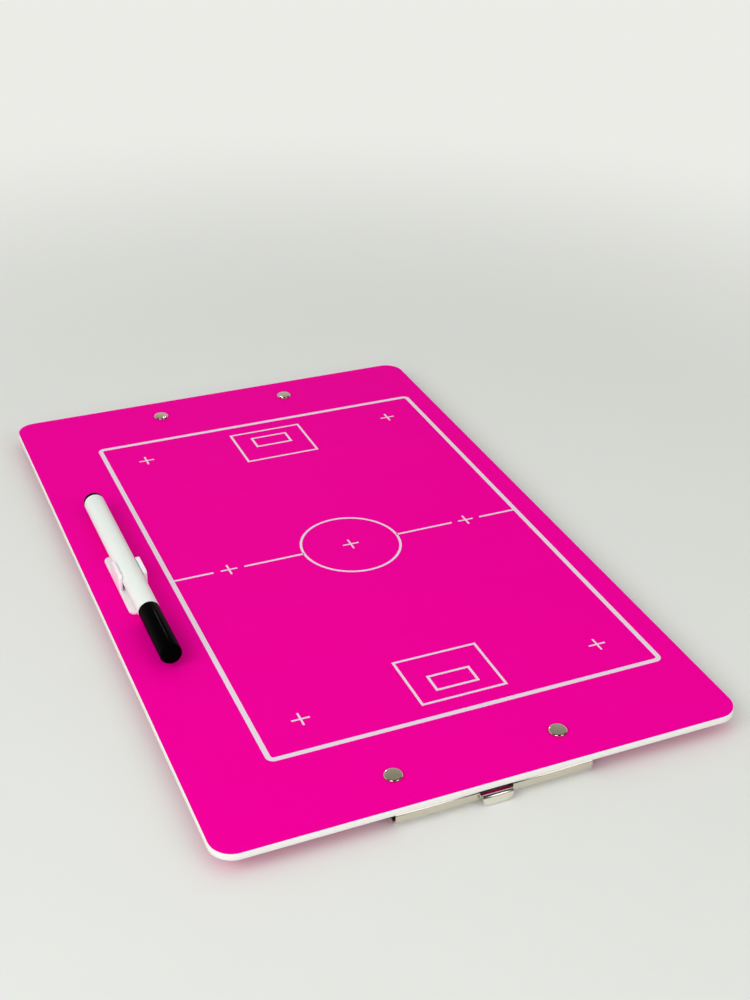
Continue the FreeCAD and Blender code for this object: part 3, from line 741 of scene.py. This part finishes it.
def hinge_ears(bm, clips, inner_x, root_z):
    """Two upright ears of the sheet round the hinge pin, open to the sheet that they are folded from."""
    hinge = hinge_place()
    towards = math.copysign(1, root_z - hinge.z)
    tip_z = hinge.z - towards * clips.ear
    for side in (-1, 1):
        x = side * (inner_x + clips.gauge)
        verts = wire_loop(bm, [(x, hinge.y - clips.ear, root_z), (x, hinge.y + clips.ear, root_z),
                               (x, hinge.y + clips.ear, tip_z), (x, hinge.y - clips.ear, tip_z)])
        round_corners(bm, verts[2:], clips.ear_round, ROUND_STEPS)
        turn = Matrix.Translation((x, hinge.y, hinge.z)) @ Matrix.Rotation(QUARTER_TURN, 4, "Y")
        bmesh.ops.create_circle(bm, segments=HOLE_STEPS, radius=clips.pin_hole, matrix=turn)
        faces = fill_loops(bm)
        if faces[0].normal.x * side < 0:
            bmesh.ops.reverse_faces(bm, faces=faces)


def turn_to_end(bm, end):
    """Turn a piece that is modelled at the near end to its own end of the panel."""
    if end == "far":
        bmesh.ops.rotate(bm, verts=bm.verts[:], cent=(0, 0, 0), matrix=Matrix.Rotation(HALF_TURN, 3, "Z"))
    return bm


def finish_sheet(bm, clips, end):
    """Give a folded sheet its gauge and soft rims, and turn it to its end of the panel."""
    bmesh.ops.solidify(bm, geom=bm.faces[:], thickness=clips.gauge)
    soften_edges(bm, RIM_ANGLE, clips.rim)
    return turn_to_end(bm, end)


class TACTICS_OT_clip_bases(bpy.types.Operator):
    """Model the pressed plate of each clip, with its end wall, notch and hinge ears"""

    bl_idname = "tactics_board.clip_bases"
    bl_label = "Clip bases"

    def execute(self, context):
        clips = context.scene.board_clips
        plating = nickel_plate("clip_nickel_plate", clips.plating, **ROLLED_STRIP)
        low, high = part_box("near_clip_base")
        notch_y = low.y + clips.notch_depth
        outline = [(low.x, low.y), (-clips.notch, low.y), (-clips.notch, notch_y), (clips.notch, notch_y),
                   (clips.notch, low.y), (high.x, low.y), (high.x, high.y), (low.x, high.y)]
        holes = rivet_places(clips)[:2]
        for end in ENDS:
            bm = pierced_sheet(outline, high.z, holes, context.scene.board_panel.rivet_hole)
            folds = edges_at(bm, low.y)
            extrude_edges(bm, folds, (0, 0, -clips.wall))
            face_outwards(bm)
            round_off(bm, folds, clips.base_bend, BEND_STEPS)
            turn_faces(bm, UP)
            hinge_ears(bm, clips, clips.base_ear, high.z - clips.gauge / 2)
            bm = finish_sheet(bm, clips, end)
            place_piece(bm, f"{end}_pressed_base", plating, BOARD, f"{end}_clip_base")
        return {"FINISHED"}


class TACTICS_OT_clip_jaws(bpy.types.Operator):
    """Model the sprung jaw of each clip, with its flange, gripping lip, thumb tab and hinge ears"""

    bl_idname = "tactics_board.clip_jaws"
    bl_label = "Clip jaws"

    def execute(self, context):
        clips = context.scene.board_clips
        # The jaws' lighter tone is painted light on the same nickel plate as the bases
        plating = nickel_plate("jaw_nickel_with_painted_light", clips.jaw_plating_painted_light, **ROLLED_STRIP)
        low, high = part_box("near_clip_jaw")
        flange_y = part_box("core_panel")[0].y + clips.jaw_back
        under_z = clips.tab_top - clips.gauge
        outline = [(low.x, flange_y), (-clips.tab, flange_y), (clips.tab, flange_y), (high.x, flange_y),
                   (high.x, high.y), (low.x, high.y)]
        holes = rivet_places(clips)[:2]
        for end in ENDS:
            bm = pierced_sheet(outline, low.z, holes, clips.access)
            back = edges_at(bm, flange_y)
            front = edges_at(bm, high.y)
            top = extrude_edges(bm, back, (0, 0, clips.flange))
            extrude_edges(bm, front, (0, 0, high.z - low.z))
            root = [edge for edge in top if all(abs(vert.co.x) < clips.tab + WELD for vert in edge.verts)]
            first_fold = extrude_edges(bm, root, (0, 0, under_z - clips.flange))
            second_fold = extrude_edges(bm, first_fold, (0, low.y + clips.gauge - flange_y, 0))
            tip = extrude_edges(bm, second_fold, (0, 0, clips.tab_lift - under_z))
            round_corners(bm, [vert for edge in tip for vert in edge.verts], clips.tab_corner, ROUND_STEPS)
            face_outwards(bm)
            round_off(bm, back + front, clips.jaw_bend + clips.gauge, BEND_STEPS)
            round_off(bm, first_fold + second_fold, clips.jaw_bend, BEND_STEPS)
            turn_faces(bm, -UP)
            hinge_ears(bm, clips, clips.jaw_ear, low.z + clips.gauge / 2)
            bm = finish_sheet(bm, clips, end)
            place_piece(bm, f"{end}_pressed_jaw", plating, f"{end}_jaw", f"{end}_clip_jaw")
        return {"FINISHED"}


def torsion_spring(clips):
    """The near spring: wire coiled round the pin, with a leg on the base plate and one on the jaw."""
    low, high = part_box("near_clip_spring")
    hinge = hinge_place()
    wire = clips.spring_wire
    coil = (high.z - low.z) / 2 - wire
    start = Vector((low.x + wire, hinge.y, hinge.z + coil))
    steps = round(clips.spring_turns * COIL_STEPS)
    bm = bmesh.new()
    bmesh.ops.create_circle(bm, segments=WIRE_STEPS, radius=wire,
                            matrix=Matrix.Translation(start) @ Matrix.Rotation(QUARTER_TURN, 4, "X"))
    first = bm.edges[:]
    made = bmesh.ops.spin(bm, geom=bm.verts[:] + first, cent=hinge, axis=-ACROSS, steps=steps,
                          angle=clips.spring_turns * math.tau, dvec=ACROSS * (-2 * start.x / steps))
    last = [item for item in made["geom_last"] if isinstance(item, bmesh.types.BMEdge)]
    for edges in (first, last):
        extrude_edges(bm, edges, (0, low.y - hinge.y, 0))
    bmesh.ops.holes_fill(bm, edges=bm.edges[:])
    face_outwards(bm)
    return bm


class TACTICS_OT_hinges(bpy.types.Operator):
    """Finish the hinge pins and model the torsion springs, which stay still as the jaws open"""

    bl_idname = "tactics_board.hinges"
    bl_label = "Hinge pins and springs"

    def execute(self, context):
        clips = context.scene.board_clips
        steel = nickel_plate("drawn_steel", clips.wire, smooth=0.25, worn=0.4, mark_width=0.2,
                             mark_length=4.0)
        for end, side in ENDS.items():
            paint_node(f"{end}_hinge_pin", steel)
            bm = turn_to_end(torsion_spring(clips), end)
            spring = smooth_object(bm, f"{end}_torsion_spring", steel)
            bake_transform(spring)
            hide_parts(f"{end}_clip_spring")
        return {"FINISHED"}


def marker_axis():
    """A point on the marker's axis, above the table under the board's middle."""
    low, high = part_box("pen_barrel")
    return Vector(((low.x + high.x) / 2, 0, (low.z + high.z) / 2))


def cut_across(bm, place, axis):
    """Cut new edges where a plane crosses the mesh."""
    bmesh.ops.bisect_plane(bm, geom=bm.verts[:] + bm.edges[:] + bm.faces[:], dist=NEAR_CUT,
                           plane_co=place, plane_no=axis)


def raise_face(bm, face, move):
    """Pull a face of a solid out by a move, and return it."""
    top = bmesh.ops.extrude_discrete_faces(bm, faces=[face])["faces"][0]
    bmesh.ops.translate(bm, verts=top.verts[:], vec=move)
    return top


def holder_moulding(marker):
    """The holder's plate, with a finger pulled up at each side and its lip leaned over the marker."""
    low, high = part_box("pen_holder")
    middle = (low + high) / 2 + ALONG * marker.finger_shift
    half = (high.x - low.x) / 2
    grip = half - marker.finger_wall
    axis_z = marker_axis().z
    plate_z = low.z + marker.plate
    bm = plate(low, Vector((high.x, high.y, plate_z)), marker.holder_corner)
    for side in (-1, 1):
        cut_across(bm, middle + Vector((side * grip, 0, 0)), ACROSS)
        cut_across(bm, middle + Vector((0, side * marker.finger, 0)), ALONG)
    roots = []
    for face in bm.faces:
        place = face.calc_center_median() - middle
        if face.normal.z > FACES_UP and abs(place.x) > grip and abs(place.y) < marker.finger:
            roots.append(face)
    for face in roots:
        top = raise_face(bm, face, (0, 0, high.z - plate_z))
        ends = [edge for edge in top.edges if abs(edge.verts[0].co.y - edge.verts[1].co.y) < WELD]
        round_off(bm, ends, marker.finger_corner, BEND_STEPS)
    top = high.z - axis_z
    for height in (marker.finger_lean, marker.finger_rise):
        cut_across(bm, Vector((middle.x, middle.y, axis_z + height)), UP)
    for vert in bm.verts:
        height = vert.co.z - axis_z
        across = vert.co.x - middle.x
        if height > marker.finger_lean and abs(across) < half - WELD:
            rise = (height - marker.finger_lean) / (marker.finger_rise - marker.finger_lean)
            fall = (top - height) / (top - marker.finger_rise)
            vert.co.x -= math.copysign(min(rise, fall) * marker.finger_lip, across)
    bmesh.ops.dissolve_limit(bm, angle_limit=FLAT_ANGLE, verts=bm.verts[:], edges=bm.edges[:])
    soften_edges(bm, SHARP_ANGLE, marker.moulded_edge, ROUND_STEPS)
    bmesh.ops.remove_doubles(bm, verts=bm.verts[:], dist=WELD)
    return bm


class TACTICS_OT_holder(bpy.types.Operator):
    """Model the marker's holder and the adhesive pad under it"""

    bl_idname = "tactics_board.holder"
    bl_label = "Marker holder"

    def execute(self, context):
        marker = context.scene.board_marker
        low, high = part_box("holder_adhesive_pad")
        foam = porous("adhesive_foam_tape", marker.tape, cell=0.25, depth=0.05)
        pad = plate(low, high, marker.tape_corner)
        place_piece(pad, "adhesive_pad", foam, BOARD, "holder_adhesive_pad")
        milky = milky_plastic(marker.holder)
        place_piece(holder_moulding(marker), "marker_holder", milky, BOARD, "pen_holder")
        return {"FINISHED"}


def turned_piece(section, name, material, body, node, closed=False):
    """A piece of the marker, turned about its axis."""
    bm = turned(section, marker_axis(), ALONG, closed)
    place_piece(bm, name, material, body, node)


class TACTICS_OT_marker(bpy.types.Operator):
    """Model the marker: barrel, end plug, neck, nib and cap"""

    bl_idname = "tactics_board.marker"
    bl_label = "Marker"

    def execute(self, context):
        marker = context.scene.board_marker
        white = moulded_plastic("moulded_white_polypropylene", marker.barrel, gloss=0.25, smooth=0.4,
                                worn=0.52)
        black = moulded_plastic("moulded_black_polypropylene", marker.black, gloss=0.01, smooth=0.08,
                                worn=0.14)
        natural = moulded_plastic("moulded_natural_polypropylene", marker.neck_white, gloss=0.3, smooth=0.4,
                                  worn=0.5)
        felt = porous("inked_felt", marker.felt, cell=0.2, depth=0.03)

        low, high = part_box("pen_barrel")
        outside = (high.x - low.x) / 2
        front = low.y
        back = high.y
        barrel = [
            (marker.bore, front),
            (outside, front, marker.barrel_round),
            (outside, back, marker.barrel_round),
            (marker.bore, back),
        ]
        turned_piece(barrel, "marker_barrel", white, "pen", "pen_barrel", closed=True)

        low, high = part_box("pen_end_plug")
        plug = [
            (0.0, low.y),
            (marker.plug, low.y),
            (marker.plug, back),
            (marker.plug_flange, back),
            (marker.plug_flange, high.y, marker.plug_round),
            (0.0, high.y),
        ]
        turned_piece(plug, "marker_end_plug", black, "pen", "pen_end_plug")

        low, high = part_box("pen_nib_holder")
        neck = [
            (marker.nib_hole, high.y),
            (marker.nib_hole, low.y),
            (marker.nib_hole + marker.cone_wall, low.y, marker.cone_round),
            (marker.neck, front - marker.neck_length, marker.cone_round),
            (marker.neck, front),
            (marker.plug, front),
            (marker.plug, high.y),
        ]
        turned_piece(neck, "marker_neck", natural, "pen", "pen_nib_holder", closed=True)

        low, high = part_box("pen_nib")
        nib = [
            (0.0, low.y),
            (marker.nib, low.y, marker.nib_round),
            (marker.nib, high.y),
            (0.0, high.y),
        ]
        turned_piece(nib, "marker_nib", felt, "pen", "pen_nib")
        paint_node("pen_ink_reservoir", felt)

        low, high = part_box("pen_cap")
        outside = (high.x - low.x) / 2
        bore = outside - marker.cap_wall
        cap = [
            (0.0, low.y),
            (outside, low.y, marker.cap_round),
            (outside, high.y, marker.cap_mouth),
            (bore, high.y, marker.cap_mouth),
            (bore, low.y + marker.cap_end),
            (0.0, low.y + marker.cap_end),
        ]
        turned_piece(cap, "marker_cap", black, "cap", "pen_cap")
        return {"FINISHED"}


def mirrored_room(tree):
    """Node with the share of its light that the room shows in metal, by direction."""
    direction = add_node(tree, "TexCoord")
    place = add_node(tree, "SeparateXYZ", {}, {"Vector": direction.outputs["Generated"]})
    ranges = (("Z", CEILING_LOW, CEILING_HIGH, 1.0, CEILING_LIGHT),
              ("Z", FRONT_LOW, FRONT_HIGH, 0.0, 1.0),
              ("Y", FRONT_START, FRONT_FULL, 0.0, 1.0))
    shares = []
    for axis, start, end, first, last in ranges:
        settings = {"interpolation_type": "SMOOTHSTEP", "From Min": start, "From Max": end,
                    "To Min": first, "To Max": last}
        shares.append(add_node(tree, "MapRange", settings, {"Value": place.outputs[axis]}))
    ceiling, raised, front = shares
    dark = add_node(tree, "Math", {"operation": "MULTIPLY"}, {0: raised, 1: front})
    # A plain mix takes its two values at sockets 2 and 3
    return add_node(tree, "Mix", {3: FRONT_LIGHT}, {0: dark, 2: ceiling})


def area_lamp(name, place, width, height, power):
    """A rectangular lamp that faces the board."""
    light = bpy.data.lights.new(name, "AREA")
    light.shape = "RECTANGLE"
    light.size = width
    light.size_y = height
    light.energy = power
    lamp = bpy.data.objects.new(name, light)
    lamp.location = place
    lamp.rotation_euler = (-Vector(place)).to_track_quat("-Z", "Y").to_euler()
    bpy.context.scene.collection.objects.link(lamp)
    return lamp


class TACTICS_OT_stage(bpy.types.Operator):
    """Set the pale floor, the soft light and the camera"""

    bl_idname = "tactics_board.stage"
    bl_label = "Stage"

    def execute(self, context):
        stage = context.scene.board_stage
        bm = bmesh.new()
        bmesh.ops.create_circle(bm, segments=CIRCLE_STEPS, radius=stage.floor_radius, cap_ends=True)
        paper = studio_paper(stage.floor, stage.room, stage.fade_near, stage.fade_far)
        smooth_object(bm, "studio_floor", paper)

        world = bpy.data.worlds.new("soft_room")
        world.use_nodes = True
        tree = world.node_tree
        sky = tree.nodes["Background"]
        sky.inputs["Color"].default_value = stage.room
        level = add_node(tree, "MapRange", {"To Min": ROOM_LIGHT, "To Max": 1.0},
                         {"Value": seen_directly(tree)})
        # The darker room shows only in metal that is seen with no matt surface in between
        path = add_node(tree, "LightPath")
        unscattered = add_node(tree, "Math", {"operation": "LESS_THAN", 1: 1.0},
                               {0: path.outputs["Diffuse Depth"]})
        mirrored = add_node(tree, "Math", {"operation": "MULTIPLY"},
                            {0: path.outputs["Is Glossy Ray"], 1: unscattered})
        shade = add_node(tree, "Mix", {2: 1.0}, {0: mirrored, 3: mirrored_room(tree)})
        strength = add_node(tree, "Math", {"operation": "MULTIPLY"}, {0: level, 1: shade})
        tree.links.new(strength.outputs["Value"], sky.inputs["Strength"])
        context.scene.world = world

        for settings in SOFTBOXES:
            area_lamp(*settings)
        area_lamp(*FILL).visible_glossy = False
        area_lamp(*GLINT).visible_diffuse = False

        camera = bpy.data.objects.new("photo_camera", bpy.data.cameras.new("photo_camera"))
        camera.data.lens = stage.lens
        aim = Vector(stage.camera_aim).normalized()
        turn = aim.to_track_quat("-Z", "Y").to_matrix() @ Matrix.Rotation(stage.camera_roll, 3, "Z")
        camera.matrix_world = Matrix.Translation(stage.camera_place) @ turn.to_4x4()
        context.scene.collection.objects.link(camera)
        context.scene.camera = camera
        context.scene.view_settings.view_transform = "Standard"
        return {"FINISHED"}


class TACTICS_PT_pieces(bpy.types.Panel):
    """The pieces of the tactics board"""

    bl_label = "Tactics Board"
    bl_idname = "TACTICS_PT_pieces"
    bl_space_type = "VIEW_3D"
    bl_region_type = "UI"
    bl_category = "Tactics Board"

    def draw(self, context):
        for operator in OPERATORS:
            self.layout.operator(operator.bl_idname)


SETTINGS = {
    "board_panel": PanelSettings,
    "board_court": CourtSettings,
    "board_clips": ClipSettings,
    "board_marker": MarkerSettings,
    "board_stage": StageSettings,
}
OPERATORS = (TACTICS_OT_panel, TACTICS_OT_court, TACTICS_OT_rivets, TACTICS_OT_clip_bases,
             TACTICS_OT_clip_jaws, TACTICS_OT_hinges, TACTICS_OT_holder, TACTICS_OT_marker,
             TACTICS_OT_stage)


def register():
    """Register the settings, the operators and the panel."""
    for name, group in SETTINGS.items():
        bpy.utils.register_class(group)
        setattr(bpy.types.Scene, name, PointerProperty(type=group))
    for operator in OPERATORS + (TACTICS_PT_pieces,):
        bpy.utils.register_class(operator)


def unregister():
    """Take back what register added."""
    for operator in reversed(OPERATORS + (TACTICS_PT_pieces,)):
        bpy.utils.unregister_class(operator)
    for name, group in SETTINGS.items():
        delattr(bpy.types.Scene, name)
        bpy.utils.unregister_class(group)


def main():
    """Make every piece and the stage."""
    register()
    bpy.ops.tactics_board.panel()
    bpy.ops.tactics_board.court()
    bpy.ops.tactics_board.rivets()
    bpy.ops.tactics_board.clip_bases()
    bpy.ops.tactics_board.clip_jaws()
    bpy.ops.tactics_board.hinges()
    bpy.ops.tactics_board.holder()
    bpy.ops.tactics_board.marker()
    bpy.ops.tactics_board.stage()


if __name__ == "__main__":
    main()
